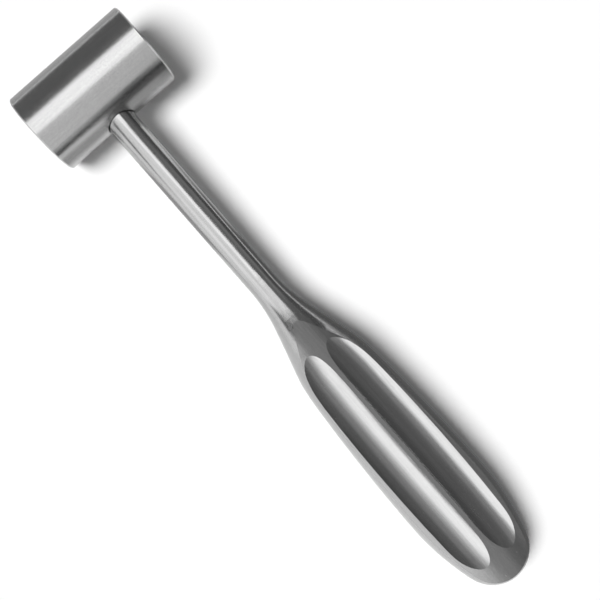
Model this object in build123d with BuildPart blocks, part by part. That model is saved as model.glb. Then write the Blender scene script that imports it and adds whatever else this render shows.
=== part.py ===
# Surgical mallet: a turned steel head and a one-piece handle with a fluted grip.
# Millimetres, +Z up. The mallet lies at rest: the head's barrel and the grip's end touch z = 0,
# the head's axis runs along Y and the handle runs out along X. The origin is the middle of the
# overall length, on the surface that the mallet lies on.
import os
from math import asin, atan2, cos, degrees, hypot, radians, sin, sqrt, tan

from build123d import *

# Head
head_diameter = 32.0
head_length = 50.0
head_edge_chamfer = 0.5
socket_depth = 22.0
socket_mouth_chamfer = 0.2
tenon_clearance = 0.03

# Handle, with distances along it measured from the head's axis
reach = 225.0
root_diameter = 11.0
neck_diameter = 10.3

# Outline of the grip seen from the front
grip_width = 32.4
grip_widest_from_end = 35.0
grip_belly_radius = 640.0
grip_belly_length = 53.0
flare_length = 35.8
flare_neck_blend = 60.0
flare_belly_blend = 60.0
flare_belly_run = 6.5
end_shoulder_radius = 89.0

# The two crowned faces that flatten the grip
grip_thickness = 18.0
face_crown_radius = 75.0
face_lead_from_neck = 17.0
face_lead_length = 19.0
face_lead_angle = 8.0
face_fall_from_end = 19.0
face_fall_angle = 8.0
face_blend_radius = 60.0
face_edge_round = 2.0
cutter_run_out = 14.0
cutter_height = 20.0

# The four flutes, two on each face
flute_scoop_radius = 8.0
flute_width = 11.9
ridge_width = 1.4
flute_lean_angle = 35.0
flute_start_from_neck = 36.8
flute_end_from_end = 20.0
flute_deepest_from_end = 53.0
flute_long_radius = 750.0
flute_run_out_radius = 39.0
flute_run_out_angle = 32.0

# Sizes that follow from the ones above
head_radius = head_diameter / 2
root_radius = root_diameter / 2
neck_radius = neck_diameter / 2
grip_radius = grip_width / 2
face_height = grip_thickness / 2
tenon_end = head_radius - socket_depth
grip_widest = reach - grip_widest_from_end
neck_from_head = grip_widest - grip_belly_length - flare_length
belly_angle = degrees(asin(grip_belly_length / grip_belly_radius))

# The shoulder arc and the round end are tangent, and the end's centre lies on the handle's axis
shoulder_drop = end_shoulder_radius - grip_radius
end_round_radius = (end_shoulder_radius**2 - grip_widest_from_end**2 - shoulder_drop**2) / (
    2 * (end_shoulder_radius - grip_widest_from_end)
)
shoulder_angle = degrees(atan2(grip_widest_from_end - end_round_radius, shoulder_drop))
end_round_angle = degrees(atan2(shoulder_drop, grip_widest_from_end - end_round_radius))

# The cutter that makes a flute is centred above the chord between the flute's two edges
inner_edge = ridge_width / 2
outer_edge = inner_edge + flute_width
inner_height = face_height - face_crown_radius + sqrt(face_crown_radius**2 - inner_edge**2)
outer_height = face_height - face_crown_radius + sqrt(face_crown_radius**2 - outer_edge**2)
chord_angle = atan2(outer_height - inner_height, flute_width)
chord_half = hypot(outer_height - inner_height, flute_width) / 2
scoop_lift = sqrt(flute_scoop_radius**2 - chord_half**2)
scoop_across = (inner_edge + outer_edge) / 2 - scoop_lift * sin(chord_angle)
scoop_up = (inner_height + outer_height) / 2 + scoop_lift * cos(chord_angle)
flute_deepest = reach - flute_deepest_from_end
flute_first_run = flute_deepest - neck_from_head - flute_start_from_neck
flute_last_run = flute_deepest_from_end - flute_end_from_end
flute_first_angle = degrees(asin(flute_first_run / flute_long_radius))
flute_last_angle = degrees(asin(flute_last_run / flute_long_radius))

# The handle tilts until the head's barrel and the fall of the lower face both touch z = 0
fall_corner = reach - face_fall_from_end
fall_centre_along = fall_corner - face_blend_radius * tan(radians(face_fall_angle / 2))
fall_centre_up = face_blend_radius - face_height
tilt = atan2(fall_centre_up, fall_centre_along) - asin(
    (face_blend_radius - head_radius) / hypot(fall_centre_along, fall_centre_up)
)

# The middle of the overall length is at x = 0
overall_length = head_radius + (reach - end_round_radius) * cos(tilt) + end_round_radius
head_axis_x = head_radius - overall_length / 2

# The handle's own plane: x runs along it from the head's axis, y points up from its upper face
handle_plane = Plane(
    origin=(head_axis_x, 0, head_radius), x_dir=(cos(tilt), 0, -sin(tilt)), z_dir=(0, -1, 0)
)
handle_axis = Axis(handle_plane.origin, handle_plane.x_dir)

# The head's circles start at its lowest point, so that the seam of the barrel stays clear of the socket
head_plane = Plane(
    origin=(head_axis_x, -head_length / 2, head_radius), x_dir=(0, 0, -1), z_dir=(0, 1, 0)
)

os.makedirs("parts", exist_ok=True)

# Head: a turned cylinder with a blind socket that takes the end of the shaft
with BuildPart() as head:
    with BuildSketch(head_plane):
        Circle(head_radius)
    extrude(amount=head_length)
    chamfer(head.edges().filter_by(GeomType.CIRCLE), head_edge_chamfer)
    with BuildSketch(Plane(handle_plane.from_local_coords((tenon_end, 0, 0)), z_dir=handle_plane.x_dir)):
        Circle(root_radius + tenon_clearance)
    extrude(amount=head_diameter, mode=Mode.SUBTRACT)
    socket_mouth = head.faces().filter_by(GeomType.CYLINDER).sort_by(SortBy.AREA)[-1].inner_wires()[0]
    chamfer(socket_mouth.edges(), socket_mouth_chamfer)
head.part.label = "head"
export_step(head.part, "parts/head.step")

# Handle: shaft, flare, fluted grip and round end, all one forging
with BuildPart() as handle:
    with BuildSketch(handle_plane):
        with BuildLine():
            shoulder = (head_radius, root_radius)
            Polyline((tenon_end, 0), (tenon_end, root_radius), shoulder)
            belly = JernArc((grip_widest, grip_radius), (-1, 0), grip_belly_radius, belly_angle)
            FilletPolyline(
                shoulder,
                (neck_from_head, neck_radius),
                belly @ 1 + (belly % 1) * flare_belly_run,
                belly @ 1,
                radius=(flare_neck_blend, flare_belly_blend),
            )
            end_shoulder = JernArc((grip_widest, grip_radius), (1, 0), end_shoulder_radius, -shoulder_angle)
            JernArc(end_shoulder @ 1, end_shoulder % 1, end_round_radius, -end_round_angle)
            Line((reach, 0), (tenon_end, 0))
        make_face()
    revolve(axis=handle_axis)

    # Each face is cut by a broad crowned cutter, which runs in over the flare and falls off at the end
    lead_corner = neck_from_head + face_lead_from_neck
    lead_start = lead_corner - face_lead_length
    lead_rise = face_lead_length * tan(radians(face_lead_angle))
    fall_end = reach + cutter_run_out
    fall_depth = (fall_end - fall_corner) * tan(radians(face_fall_angle))
    crown_centre = face_height - face_crown_radius
    for side in (1, -1):
        with BuildSketch(handle_plane):
            with BuildLine():
                cutter = FilletPolyline(
                    (lead_start, side * (face_height - lead_rise)),
                    (lead_corner, side * face_height),
                    (fall_corner, side * face_height),
                    (fall_end, side * (face_height - fall_depth)),
                    radius=face_blend_radius,
                )
                Polyline(
                    cutter @ 0,
                    (lead_start, side * (face_height + cutter_height)),
                    (fall_end, side * (face_height + cutter_height)),
                    cutter @ 1,
                )
            make_face()
        crown_origin = handle_plane.from_local_coords((0, side * crown_centre, 0))
        revolve(axis=Axis(crown_origin, handle_plane.x_dir), mode=Mode.SUBTRACT)
    crease = handle.edges(Select.LAST).filter_by(lambda edge: abs(edge.center().Y) > ridge_width)
    fillet(crease, face_edge_round)

    # Each flute is a round cutter's track: a long shallow arc with a tighter arc up to the face at each end
    along = handle_plane.x_dir
    for face in (1, -1):
        for side in (1, -1):
            out_of_face = handle_plane.y_dir * (face * cos(radians(flute_lean_angle)))
            inward = Vector(0, -side * sin(radians(flute_lean_angle)), 0)
            deepest = handle_plane.from_local_coords((flute_deepest, face * scoop_up, -side * scoop_across))
            track_plane = Plane(origin=deepest, x_dir=along, z_dir=along.cross(out_of_face + inward))
            with BuildLine(track_plane) as track:
                first_half = JernArc((0, 0), (-1, 0), flute_long_radius, -flute_first_angle)
                JernArc(first_half @ 1, first_half % 1, flute_run_out_radius, -flute_run_out_angle)
                second_half = JernArc((0, 0), (1, 0), flute_long_radius, flute_last_angle)
                JernArc(second_half @ 1, second_half % 1, flute_run_out_radius, flute_run_out_angle)
            path = track.wire()
            with BuildSketch(Plane(origin=path @ 0, z_dir=path % 0)):
                Circle(flute_scoop_radius)
            sweep(path=path, mode=Mode.SUBTRACT)
handle.part.label = "handle"
export_step(handle.part, "parts/handle.step")
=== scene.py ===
import math

import bpy
from mathutils import Matrix, Vector

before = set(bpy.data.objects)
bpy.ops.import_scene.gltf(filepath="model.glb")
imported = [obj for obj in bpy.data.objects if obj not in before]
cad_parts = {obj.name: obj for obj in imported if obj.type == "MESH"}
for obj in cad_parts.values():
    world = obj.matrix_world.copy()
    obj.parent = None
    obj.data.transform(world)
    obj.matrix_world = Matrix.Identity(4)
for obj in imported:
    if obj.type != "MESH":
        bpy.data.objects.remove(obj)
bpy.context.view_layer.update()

# The camera, fitted to the photo
LENS = 52.378
SENSOR = 36.0
CAMERA_PLACE = (0.037895, 0.008875, 0.315624)
CAMERA_RIGHT = (0.652694, 0.752897, -0.084479)
CAMERA_UP = (-0.748393, 0.658074, 0.082740)
CAMERA_BACK = (0.117888, 0.009220, 0.992984)

# The room's brightness to the camera and as a light, and the floor's, where 1 is white
ROOM_SEEN = 0.9
ROOM_FILL = 0.1
FLOOR_COLOUR = 0.95
FLOOR_LIFT = 0.05
FLOOR_SIZE = 12

# The lamp: its strength, its spread in degrees, and the direction that it shines from
KEY_STRENGTH = 3.1
KEY_SPREAD = 30.0
KEY_FROM = (-0.06, -0.404, 1.0)

# The head's middle and half sizes, and the handle's axis, which leans down from the head
HEAD_X = -0.104437
HEAD_RADIUS = 0.016
HEAD_HALF = 0.025
HANDLE_LEAN = math.radians(1.979)
SOCKET_RADIUS = 0.0055
RIM = 0.0005

# The grip's round end is part of a ball, whose middle lies on the handle's axis
HANDLE_REACH = 0.225
END_RADIUS = 0.012927
TIP_REACH = 0.0018
TIP_FADE = 0.0008

# The box of screens round the mallet, and where one soft box or screen overhead gives way to the next
SCREENS_LEFT = -0.9
SCREENS_RIGHT = 1.3
SCREENS_SIDE = 0.8
SCREENS_TOP = 0.42
HEAD_BOX_LEFT = HEAD_X - 0.165
HEAD_BOX_RIGHT = HEAD_X + 0.118
HEAD_BOX_EDGE = 0.16
GRIP_BOX_RIGHT = 1.27
GRIP_BOX_EDGE = 0.15
SHAFT_SCREEN_END = -0.055
LOW_SCREEN_TOP = 0.18

# Brightness of soft boxes, screens and cards: the share of the way along Y, and the level there
BRIGHTEST = 2.2
HEAD_BOX = [
    (0.0, 1.35), (0.22, 1.5), (0.47, 1.6), (0.6, 1.4),
    (0.66, 1.3), (0.72, 1.9), (0.8, 2.07), (1.0, 2.1),
]
GRIP_BOX = [(0.0, 2.0), (0.45, 1.9), (0.65, 1.0), (1.0, 0.9)]
SHAFT_WALL = [(0, 1.25)]
GRIP_WALL = [(0, 1.95)]
LEFT_SCREEN = [(0, 0.19)]
SHAFT_SCREEN = [(0.0, 0.22), (0.24, 0.24), (0.4, 0.3), (0.75, 0.34), (1.0, 0.36)]
GRIP_SCREEN = [(0.0, 0.19), (0.4, 0.17), (1.0, 0.13)]
BACK_SCREEN = [(0, 0.12)]
RIGHT_HIGH_SCREEN = [(0, 0.55)]
RIGHT_LOW_SCREEN = [(0, 0.05)]
GRIP_CARD = [(0.0, 0.5), (0.27, 0.3), (0.38, 0.4), (0.44, 0.4), (0.54, 0.19), (1.0, 0.14)]
# The card behind the handle is a painted shadow, darkest next to the handle, seen only in mirror images
PAINTED_SHADOW_CARD = [(0.0, 0.2), (0.1, 0.17), (0.35, 0.15), (0.65, 0.4), (1.0, 0.85)]
LEFT_FLOOR_CARD = [(0, 0.6)]
HEAD_FLOOR_CARD = [(0, 0.58)]
FAR_FLOOR_CARD = [(0, 0.08)]

# Cards close to the mallet, one low over the grip and four just over the floor: name, left, right, near
# edge, far edge, height, brightness, and the shares of the length and the width over which each edge fades
CARDS = (
    ("grip_card", -0.018, 0.17, -0.020, 0.03, 0.05, GRIP_CARD, 0.06, 0.28),
    # A painted shadow: a dark card just over the floor behind the handle, which the steel mirrors
    ("painted_shadow_card", -0.09, 0.2, 0.003, 0.13, 0.0005, PAINTED_SHADOW_CARD, 0.12, 0.07),
    ("left_floor_card", -0.32, -0.118, -0.25, 0.25, 0.0005, LEFT_FLOOR_CARD, 0.05, 0.1),
    ("head_floor_card", -0.084, -0.03, -0.09, 0.034, 0.0009, HEAD_FLOOR_CARD, 0.2, 0.12),
    ("far_floor_card", 0.135, 1.25, -0.5, 0.5, 0.0013, FAR_FLOOR_CARD, 0.03, 0.3),
)

# Steel: its brightness, and for each pattern the marks to the metre
STEEL = 0.42
SATIN = 1700.0
TURNING = 3600.0
RUBBING = 1500.0
STROKES = 1400.0
SCUFFS = 700.0
HEAD_CLOUDS = 140.0
HANDLE_CLOUDS = 110.0

# How far marks are drawn out: the share of their number that is left along each axis
RUBBING_DRAW = (1.0, 0.03, 1.0)
STROKES_DRAW = (0.02, 1.0, 1.0)
SCUFFS_DRAW = (0.15, 1.0, 1.0)

# Depth of the marks in metres
TURNING_DEPTH = 0.000006
RUBBING_DEPTH = 0.000008
HEAD_SATIN_DEPTH = 0.000010
STROKES_DEPTH = 0.000008
SCUFFS_DEPTH = 0.000006
HANDLE_SATIN_DEPTH = 0.000007

# Half the run of values that a pattern usually covers, and how far it moves shade and roughness
FINE_CONTRAST = 0.25
BROAD_CONTRAST = 0.2
MAIN_SHADE = 0.07
LESSER_SHADE = 0.04
CLOUDY_SHADE = 0.02
HEAD_SATIN_ROUGHNESS = 0.03
HEAD_CLOUDY_ROUGHNESS = 0.02
SCUFFS_ROUGHNESS = 0.025
HANDLE_SATIN_ROUGHNESS = 0.015

# Plain roughness of the head, the shaft and the grip, and where the shaft's turns into the grip's
HEAD_ROUGHNESS = 0.2
SHAFT_ROUGHNESS = 0.17
GRIP_ROUGHNESS = 0.24
SHAFT_FINISH = 0.09
GRIP_START = 0.135

# Rims of the head with a painted highlight, the painted shade at the joint round the shaft, and the
# handle's edges, smoothed by wear and brightened by a painted highlight
RIM_START_ALONG = 1.6 * RIM
RIM_START_OUT = 1.8 * RIM
RIM_PAINTED_HIGHLIGHT = 0.22
RIM_SMOOTHING = 0.05
SEAM_FULL = 0.0002
SEAM_GONE = 0.0006
SEAM_RUN_IN = 0.004
SEAM_PAINTED_SHADE = 0.15
EDGE_REACH = 0.0005
EDGE_PLAIN = 0.995
EDGE_WORN_AND_HIGHLIT = 0.93
EDGE_PAINTED_HIGHLIGHT = 0.12
EDGE_SMOOTHING = 0.04


def tree_of(material):
    """An empty node tree with its output, ready for new nodes."""
    material.use_nodes = True
    tree = material.node_tree
    tree.nodes.clear()
    return tree, tree.nodes.new("ShaderNodeOutputMaterial")


def add(tree, kind, inputs, **settings):
    """A new node with its settings, each input set to a number or joined to another node's output."""
    node = tree.nodes.new(kind)
    for name, value in settings.items():
        setattr(node, name, value)
    for name, value in inputs.items():
        if isinstance(value, bpy.types.NodeSocket):
            tree.links.new(value, node.inputs[name])
        else:
            node.inputs[name].default_value = value
    return node


def calc(tree, operation, first, second=0.0):
    """A sum on one or two values."""
    return add(tree, "ShaderNodeMath", {0: first, 1: second}, operation=operation).outputs[0]


def total(tree, value, *others):
    """The values added up."""
    for other in others:
        value = calc(tree, "ADD", value, other)
    return value


def vector_calc(tree, operation, first, second=(0.0, 0.0, 0.0), output="Vector"):
    """A sum on one or two points or directions."""
    return add(tree, "ShaderNodeVectorMath", {0: first, 1: second}, operation=operation).outputs[output]


def scaled(tree, direction, amount):
    """A direction times an amount."""
    inputs = {0: direction, "Scale": amount}
    return add(tree, "ShaderNodeVectorMath", inputs, operation="SCALE").outputs[0]


def between(tree, value, low, high, at_low, at_high):
    """The value's run from low to high, brought to the run from at_low to at_high and held at both ends."""
    inputs = {"Value": value, "From Min": low, "From Max": high, "To Min": at_low, "To Max": at_high}
    return add(tree, "ShaderNodeMapRange", inputs).outputs[0]


def vary(tree, pattern, amount, middle=0.0, contrast=FINE_CONTRAST):
    """The middle value, moved up and down by a pattern, by the given amount at most."""
    return between(tree, pattern, 0.5 - contrast, 0.5 + contrast, middle - amount, middle + amount)


def object_place(tree):
    """The place on the object, in metres."""
    return add(tree, "ShaderNodeTexCoord", {}).outputs["Object"]


def axes_of(tree, place):
    """The X, Y and Z of a place."""
    return add(tree, "ShaderNodeSeparateXYZ", {0: place}).outputs


def glow(name, stops, start, end):
    """A soft box or screen whose brightness runs through the given stops from start to end along Y."""
    material = bpy.data.materials.new(name)
    tree, output = tree_of(material)
    across = axes_of(tree, object_place(tree))["Y"]
    ramp = add(tree, "ShaderNodeValToRGB", {0: between(tree, across, start, end, 0.0, 1.0)})
    elements = ramp.color_ramp.elements
    elements.remove(elements[-1])
    for k, (at, level) in enumerate(stops):
        stop = elements[0] if k == 0 else elements.new(at)
        stop.position = at
        stop.color = (level / BRIGHTEST, level / BRIGHTEST, level / BRIGHTEST, 1)
    light = add(tree, "ShaderNodeEmission", {"Color": ramp.outputs[0], "Strength": BRIGHTEST})
    tree.links.new(light.outputs[0], output.inputs["Surface"])
    return material


def panel(name, corners, stops, start=-1.0, end=1.0):
    """A flat soft box, screen or card that only mirror images see."""
    mesh = bpy.data.meshes.new(name)
    mesh.from_pydata(corners, [], [(0, 1, 2, 3)])
    obj = bpy.data.objects.new(name, mesh)
    bpy.context.scene.collection.objects.link(obj)
    mesh.materials.append(glow(name, stops, start, end))
    obj.visible_camera = obj.visible_diffuse = obj.visible_shadow = False
    return obj


def level_panel(name, left, right, near, far, height, stops):
    """A level panel, whose brightness runs from its near edge to its far edge."""
    corners = [(left, near, height), (right, near, height), (right, far, height), (left, far, height)]
    return panel(name, corners, stops, near, far)


def wall_along_x(name, left, right, y, stops):
    """An upright panel along X, from the floor to the top of the screens."""
    top = SCREENS_TOP
    panel(name, [(left, y, 0), (right, y, 0), (right, y, top), (left, y, top)], stops)


def wall_along_y(name, x, bottom, top, stops):
    """An upright panel along Y, as long as the box of screens is deep."""
    near, far = -SCREENS_SIDE, SCREENS_SIDE
    panel(name, [(x, near, bottom), (x, far, bottom), (x, far, top), (x, near, top)], stops)


def soft_card(name, left, right, near, far, height, stops, fade_x, fade_y):
    """A level card that fades out towards its edges, over the given shares of its length and width."""
    obj = level_panel(name, left, right, near, far, height, stops)
    tree = obj.data.materials[0].node_tree
    axes = axes_of(tree, object_place(tree))
    solid = 1.0
    for axis, low, high, fade in (("X", left, right, fade_x), ("Y", near, far, fade_y)):
        run = (high - low) * fade
        solid = calc(tree, "MULTIPLY", between(tree, axes[axis], low, low + run, 0.0, 1.0), solid)
        solid = calc(tree, "MULTIPLY", between(tree, axes[axis], high - run, high, 1.0, 0.0), solid)
    light = next(node for node in tree.nodes if node.type == "EMISSION")
    output = next(node for node in tree.nodes if node.type == "OUTPUT_MATERIAL")
    clear = add(tree, "ShaderNodeBsdfTransparent", {})
    faded = add(tree, "ShaderNodeMixShader", {0: solid, 1: clear.outputs[0], 2: light.outputs[0]})
    tree.links.new(faded.outputs[0], output.inputs["Surface"])


def lights():
    """Soft boxes over the head and along the near side, dark screens and cards on the other sides."""
    left, right, side, top = SCREENS_LEFT, SCREENS_RIGHT, SCREENS_SIDE, SCREENS_TOP
    level_panel("head_box", HEAD_BOX_LEFT, HEAD_BOX_RIGHT, -side, HEAD_BOX_EDGE, top, HEAD_BOX)
    level_panel("grip_box", HEAD_BOX_RIGHT, GRIP_BOX_RIGHT, -side, GRIP_BOX_EDGE, top, GRIP_BOX)
    wall_along_x("shaft_wall", left, 0.0, -side, SHAFT_WALL)
    wall_along_x("grip_wall", 0.0, right, -side, GRIP_WALL)
    level_panel("left_top_screen", left, HEAD_BOX_LEFT, -side, side, top, LEFT_SCREEN)
    wall_along_y("left_screen", left, 0.0, top, LEFT_SCREEN)
    level_panel("shaft_top_screen", HEAD_BOX_LEFT, SHAFT_SCREEN_END, HEAD_BOX_EDGE, side, top, SHAFT_SCREEN)
    level_panel("grip_top_screen", SHAFT_SCREEN_END, right, GRIP_BOX_EDGE, side, top, GRIP_SCREEN)
    wall_along_x("back_screen", left, right, side, BACK_SCREEN)
    wall_along_y("right_high_screen", right, LOW_SCREEN_TOP, top, RIGHT_HIGH_SCREEN)
    wall_along_y("right_low_screen", right, 0.0, LOW_SCREEN_TOP, RIGHT_LOW_SCREEN)
    for card in CARDS:
        soft_card(*card)


def seen_or_mirrored(tree):
    """1 where the camera, a mirror image or glass looks, 0 where a surface gathers its light."""
    rays = add(tree, "ShaderNodeLightPath", {}).outputs
    direct = calc(tree, "ADD", rays["Is Camera Ray"], rays["Is Glossy Ray"])
    inputs = {0: direct, 1: rays["Is Transmission Ray"]}
    return add(tree, "ShaderNodeMath", inputs, operation="ADD", use_clamp=True).outputs[0]


def floor():
    """A plain white floor that keeps the mallet's shadow."""
    bpy.ops.mesh.primitive_plane_add(size=FLOOR_SIZE)
    obj = bpy.context.object
    obj.name = "floor"
    material = bpy.data.materials.new("floor")
    tree, output = tree_of(material)
    paint = add(tree, "ShaderNodeBsdfDiffuse", {"Color": (FLOOR_COLOUR, FLOOR_COLOUR, FLOOR_COLOUR, 1)})
    lift = calc(tree, "MULTIPLY", seen_or_mirrored(tree), FLOOR_LIFT)
    light = add(tree, "ShaderNodeEmission", {"Strength": lift})
    both = add(tree, "ShaderNodeAddShader", {0: paint.outputs[0], 1: light.outputs[0]})
    tree.links.new(both.outputs[0], output.inputs["Surface"])
    obj.data.materials.append(material)


def room():
    """A pale room, which adds a little even light."""
    world = bpy.data.worlds.new("room")
    bpy.context.scene.world = world
    world.use_nodes = True
    tree = world.node_tree
    back = tree.nodes["Background"]
    back.inputs["Color"].default_value = (1, 1, 1, 1)
    level = between(tree, seen_or_mirrored(tree), 0.0, 1.0, ROOM_FILL, ROOM_SEEN)
    tree.links.new(level, back.inputs["Strength"])


def key_light():
    """The soft lamp, high on the near side, that gives the floor its light and the mallet its shadow."""
    data = bpy.data.lights.new("key", "SUN")
    data.angle = math.radians(KEY_SPREAD)
    data.energy = KEY_STRENGTH
    obj = bpy.data.objects.new("key", data)
    bpy.context.scene.collection.objects.link(obj)
    obj.rotation_euler = Vector(KEY_FROM).to_track_quat("Z", "Y").to_euler()
    obj.visible_glossy = False


def mottle(tree, place, per_metre, detail=3.0):
    """Soft uneven patches, so many to the metre, from 0 to 1."""
    inputs = {"Vector": place, "Scale": per_metre, "Detail": detail, "Roughness": 0.6}
    return add(tree, "ShaderNodeTexNoise", inputs).outputs[0]


def lines_around(tree, along, per_metre):
    """Fine turning lines that depend only on the distance travelled by the tool."""
    inputs = {"W": along, "Scale": per_metre, "Detail": 2.0, "Roughness": 0.7}
    return add(tree, "ShaderNodeTexNoise", inputs, noise_dimensions="1D").outputs[0]


def relief(tree, height, depth, under=None):
    """Surface relief of the given depth in metres, on top of the relief under it."""
    inputs = {"Height": height, "Distance": depth}
    if under is not None:
        inputs["Normal"] = under
    return add(tree, "ShaderNodeBump", inputs).outputs[0]


def finished_steel(tree, output, shade, roughness, normal):
    """Bare steel: the shade is the share of the plain steel's brightness."""
    level = calc(tree, "MULTIPLY", shade, STEEL)
    colour = add(tree, "ShaderNodeCombineColor", {"Red": level, "Green": level, "Blue": level}).outputs[0]
    inputs = {"Base Color": colour, "Metallic": 1.0, "Roughness": roughness, "Normal": normal}
    metal = add(tree, "ShaderNodeBsdfPrincipled", inputs)
    tree.links.new(metal.outputs[0], output.inputs["Surface"])


def round_end(tree, place):
    """The true direction of the surface at the very tip of the grip, and 1 there, 0 on the rest of it."""
    across = (HANDLE_REACH - END_RADIUS) * math.cos(HANDLE_LEAN)
    down = (HANDLE_REACH - END_RADIUS) * math.sin(HANDLE_LEAN)
    middle = Vector((HEAD_X + across, 0.0, HEAD_RADIUS - down))
    tip = middle + END_RADIUS * Vector((math.cos(HANDLE_LEAN), 0.0, -math.sin(HANDLE_LEAN)))
    from_tip = vector_calc(tree, "DISTANCE", place, tuple(tip), "Value")
    at_tip = between(tree, from_tip, TIP_REACH, TIP_REACH + TIP_FADE, 1.0, 0.0)
    outwards = {"Vector": vector_calc(tree, "SUBTRACT", place, tuple(middle))}
    ball = add(tree, "ShaderNodeVectorTransform", outwards, vector_type="NORMAL",
               convert_from="OBJECT", convert_to="WORLD").outputs[0]
    plain = add(tree, "ShaderNodeNewGeometry", {}).outputs["Normal"]
    to_ball = vector_calc(tree, "SUBTRACT", vector_calc(tree, "NORMALIZE", ball), plain)
    mixed = vector_calc(tree, "ADD", plain, scaled(tree, to_ball, at_tip))
    return vector_calc(tree, "NORMALIZE", mixed), at_tip


def worn_and_highlit_edges(tree):
    """1 on edges and creases, where polishing and handling have rounded and smoothed the steel, and where a
    painted highlight brightens it.
    """
    rounded = add(tree, "ShaderNodeBevel", {"Radius": EDGE_REACH}, samples=6).outputs[0]
    plain = add(tree, "ShaderNodeNewGeometry", {}).outputs["Normal"]
    agree = vector_calc(tree, "DOT_PRODUCT", rounded, plain, "Value")
    return between(tree, agree, EDGE_PLAIN, EDGE_WORN_AND_HIGHLIT, 0.0, 1.0)


def turned_head_steel():
    """Satin steel of the head: turned, rubbed along the barrel, with rings on the two striking faces."""
    material = bpy.data.materials.new("turned_head_steel")
    tree, output = tree_of(material)
    place = object_place(tree)
    from_middle = vector_calc(tree, "SUBTRACT", place, (HEAD_X, 0.0, HEAD_RADIUS))
    sideways = vector_calc(tree, "MULTIPLY", from_middle, (1.0, 0.0, 1.0))
    out = vector_calc(tree, "LENGTH", sideways, output="Value")
    along = calc(tree, "ABSOLUTE", axes_of(tree, place)["Y"])

    # Turning lines run round the barrel and in rings on the faces, rubbing lines run along the barrel
    turning = lines_around(tree, calc(tree, "ADD", out, along), TURNING)
    rubbing = mottle(tree, vector_calc(tree, "MULTIPLY", place, RUBBING_DRAW), RUBBING)
    satin = mottle(tree, place, SATIN)
    cloudy = mottle(tree, place, HEAD_CLOUDS)

    # The broken rims are smoother than the barrel, and a painted highlight makes them brighter
    rim = calc(tree, "MULTIPLY",
               between(tree, along, HEAD_HALF - RIM_START_ALONG, HEAD_HALF - RIM, 0.0, 1.0),
               between(tree, out, HEAD_RADIUS - RIM_START_OUT, HEAD_RADIUS - RIM, 0.0, 1.0))

    # Painted shade darkens a thin line round the shaft where it enters the socket, where shade falls into
    # the joint
    lean = (math.cos(HANDLE_LEAN), 0.0, -math.sin(HANDLE_LEAN))
    outward = vector_calc(tree, "DOT_PRODUCT", from_middle, lean, "Value")
    from_axis = vector_calc(tree, "SUBTRACT", from_middle, scaled(tree, lean, outward))
    from_shaft = vector_calc(tree, "LENGTH", from_axis, output="Value")
    seam_painted_shade = calc(tree, "MULTIPLY",
                between(tree, from_shaft, SOCKET_RADIUS + SEAM_FULL, SOCKET_RADIUS + SEAM_GONE, 1.0, 0.0),
                between(tree, outward, 0.0, SEAM_RUN_IN, 0.0, 1.0))

    shade = total(tree, vary(tree, satin, MAIN_SHADE, 1.0),
                  vary(tree, rubbing, LESSER_SHADE),
                  vary(tree, cloudy, CLOUDY_SHADE, contrast=BROAD_CONTRAST),
                  calc(tree, "MULTIPLY", rim, RIM_PAINTED_HIGHLIGHT))
    # Painted shade at the joint round the shaft darkens the steel here
    shade = calc(tree, "MULTIPLY", shade, between(tree, seam_painted_shade, 0.0, 1.0, 1.0, SEAM_PAINTED_SHADE))
    roughness = total(tree, vary(tree, satin, HEAD_SATIN_ROUGHNESS, HEAD_ROUGHNESS),
                      vary(tree, cloudy, HEAD_CLOUDY_ROUGHNESS, contrast=BROAD_CONTRAST))
    roughness = calc(tree, "SUBTRACT", roughness, calc(tree, "MULTIPLY", rim, RIM_SMOOTHING))
    normal = relief(tree, turning, TURNING_DEPTH)
    normal = relief(tree, rubbing, RUBBING_DEPTH, normal)
    normal = relief(tree, satin, HEAD_SATIN_DEPTH, normal)
    finished_steel(tree, output, shade, roughness, normal)
    return material


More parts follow.
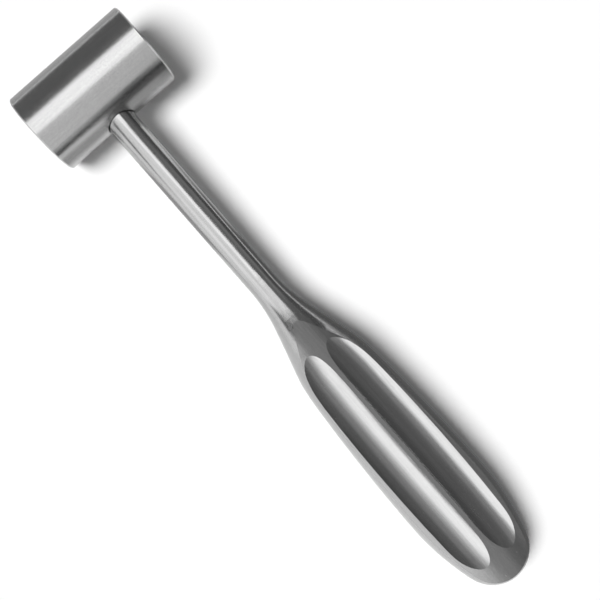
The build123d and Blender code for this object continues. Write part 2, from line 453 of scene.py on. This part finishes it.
def polished_handle_steel():
    """Satin steel of the handle: polished lengthwise, smoother on the shaft than on the grip."""
    material = bpy.data.materials.new("polished_handle_steel")
    tree, output = tree_of(material)
    place = object_place(tree)
    turned = {"Vector": vector_calc(tree, "SUBTRACT", place, (HEAD_X, 0.0, HEAD_RADIUS)),
              "Rotation": (0.0, -HANDLE_LEAN, 0.0)}
    straight = add(tree, "ShaderNodeMapping", turned).outputs[0]
    along = axes_of(tree, straight)["X"]

    # Long polishing strokes, shorter scuffs from handling, and the satin's own grain
    strokes = mottle(tree, vector_calc(tree, "MULTIPLY", straight, STROKES_DRAW), STROKES)
    scuffs = mottle(tree, vector_calc(tree, "MULTIPLY", straight, SCUFFS_DRAW), SCUFFS, detail=2.0)
    satin = mottle(tree, place, SATIN)
    cloudy = mottle(tree, place, HANDLE_CLOUDS)
    surface, at_tip = round_end(tree, place)
    # Edges and creases: smoother from wear, and brighter from a painted highlight
    worn_and_highlit = calc(tree, "MULTIPLY", worn_and_highlit_edges(tree), calc(tree, "SUBTRACT", 1.0, at_tip))

    shade = total(tree, vary(tree, strokes, MAIN_SHADE, 1.0),
                  vary(tree, satin, LESSER_SHADE),
                  vary(tree, cloudy, CLOUDY_SHADE, contrast=BROAD_CONTRAST),
                  calc(tree, "MULTIPLY", worn_and_highlit, EDGE_PAINTED_HIGHLIGHT))
    roughness = total(tree, between(tree, along, SHAFT_FINISH, GRIP_START, SHAFT_ROUGHNESS, GRIP_ROUGHNESS),
                      vary(tree, scuffs, SCUFFS_ROUGHNESS, contrast=BROAD_CONTRAST),
                      vary(tree, satin, HANDLE_SATIN_ROUGHNESS, contrast=BROAD_CONTRAST))
    roughness = calc(tree, "SUBTRACT", roughness, calc(tree, "MULTIPLY", worn_and_highlit, EDGE_SMOOTHING))
    normal = relief(tree, strokes, STROKES_DEPTH, surface)
    normal = relief(tree, scuffs, SCUFFS_DEPTH, normal)
    normal = relief(tree, satin, HANDLE_SATIN_DEPTH, normal)
    finished_steel(tree, output, shade, roughness, normal)
    return material


def camera():
    """The camera, at the photo's viewing angle."""
    data = bpy.data.cameras.new("camera")
    data.lens = LENS
    data.sensor_width = SENSOR
    obj = bpy.data.objects.new("camera", data)
    bpy.context.scene.collection.objects.link(obj)
    turn = Matrix((CAMERA_RIGHT, CAMERA_UP, CAMERA_BACK)).transposed().to_4x4()
    obj.matrix_world = Matrix.Translation(CAMERA_PLACE) @ turn
    bpy.context.scene.camera = obj


bpy.context.scene.view_settings.view_transform = "Standard"
camera()
floor()
room()
lights()
key_light()
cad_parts["head"].material_slots[0].material = turned_head_steel()
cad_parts["handle"].material_slots[0].material = polished_handle_steel()
